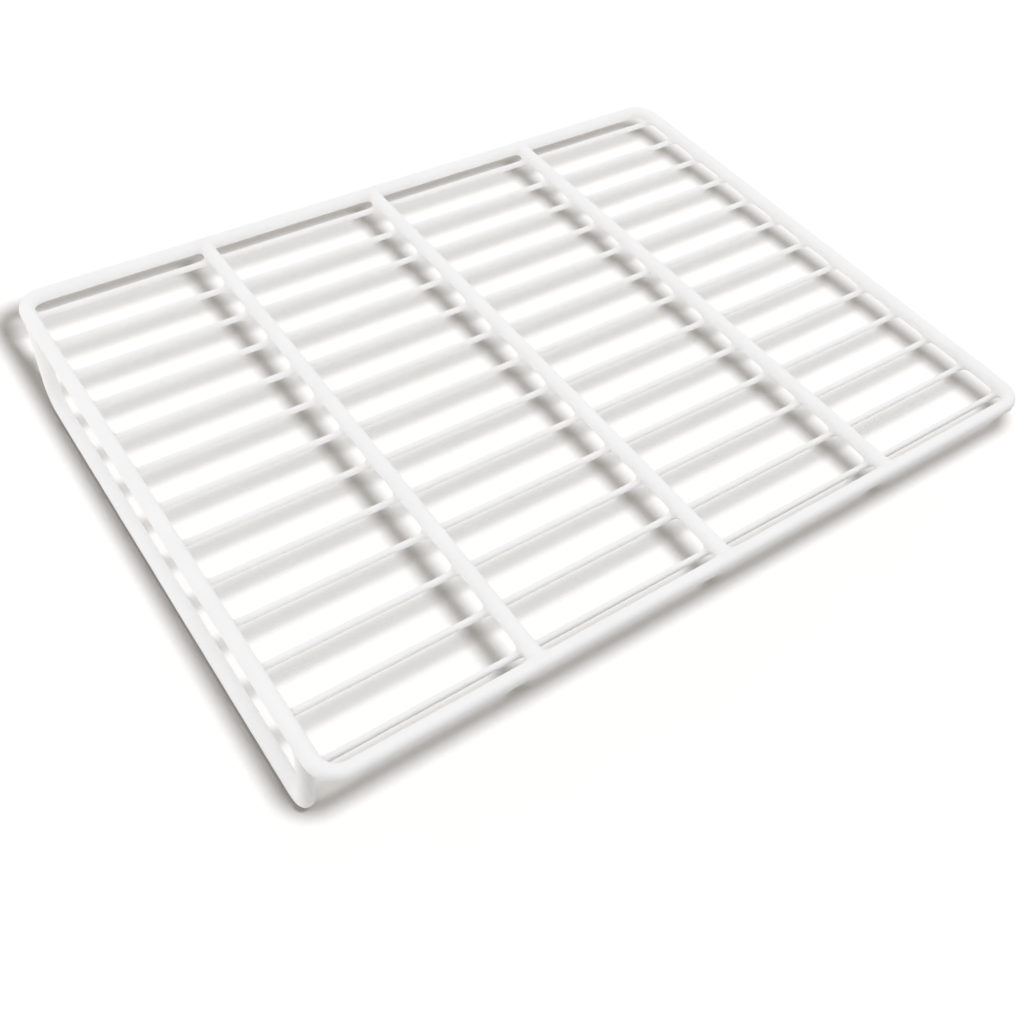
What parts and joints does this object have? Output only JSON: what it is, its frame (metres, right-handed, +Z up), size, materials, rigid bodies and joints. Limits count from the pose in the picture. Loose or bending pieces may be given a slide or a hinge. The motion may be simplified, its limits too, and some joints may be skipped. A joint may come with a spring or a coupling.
{
  "type": "coated wire shelf",
  "caption": "White plastic-coated wire shelf: a rounded steel rod frame with cross rods, thin parallel wires welded under them, and a U-shaped bar hanging below one short side.",
  "frame": {"origin": "under the middle of the shelf, level with the lip bar's underside", "axes": "+X along the long side, away from the lip bar; +Y along the short side; +Z up, from the lip bar to the grid"},
  "size_m": [0.4274, 0.3284, 0.0609],
  "materials": {
    "drawn_steel": "bright drawn low-carbon steel, hidden under the coating",
    "weld_metal": "as-welded steel, hidden under the coating",
    "white_coating": "smooth satin-gloss white dip coating, pooled into small webs at the joints"
  },
  "bodies": {
    "root": {"frame_ring": "drawn_steel", "cross_rod_1": "drawn_steel", "cross_rod_2": "drawn_steel", "cross_rod_3": "drawn_steel", "wire_01": "drawn_steel", "wire_02": "drawn_steel", "wire_03": "drawn_steel", "wire_04": "drawn_steel", "wire_05": "drawn_steel", "wire_06": "drawn_steel", "wire_07": "drawn_steel", "wire_08": "drawn_steel", "wire_09": "drawn_steel", "wire_10": "drawn_steel", "wire_11": "drawn_steel", "wire_12": "drawn_steel", "wire_13": "drawn_steel", "lip_bar": "drawn_steel", "weld_beads": "weld_metal", "plastic_coating": "white_coating"}
  },
  "joints": []
}
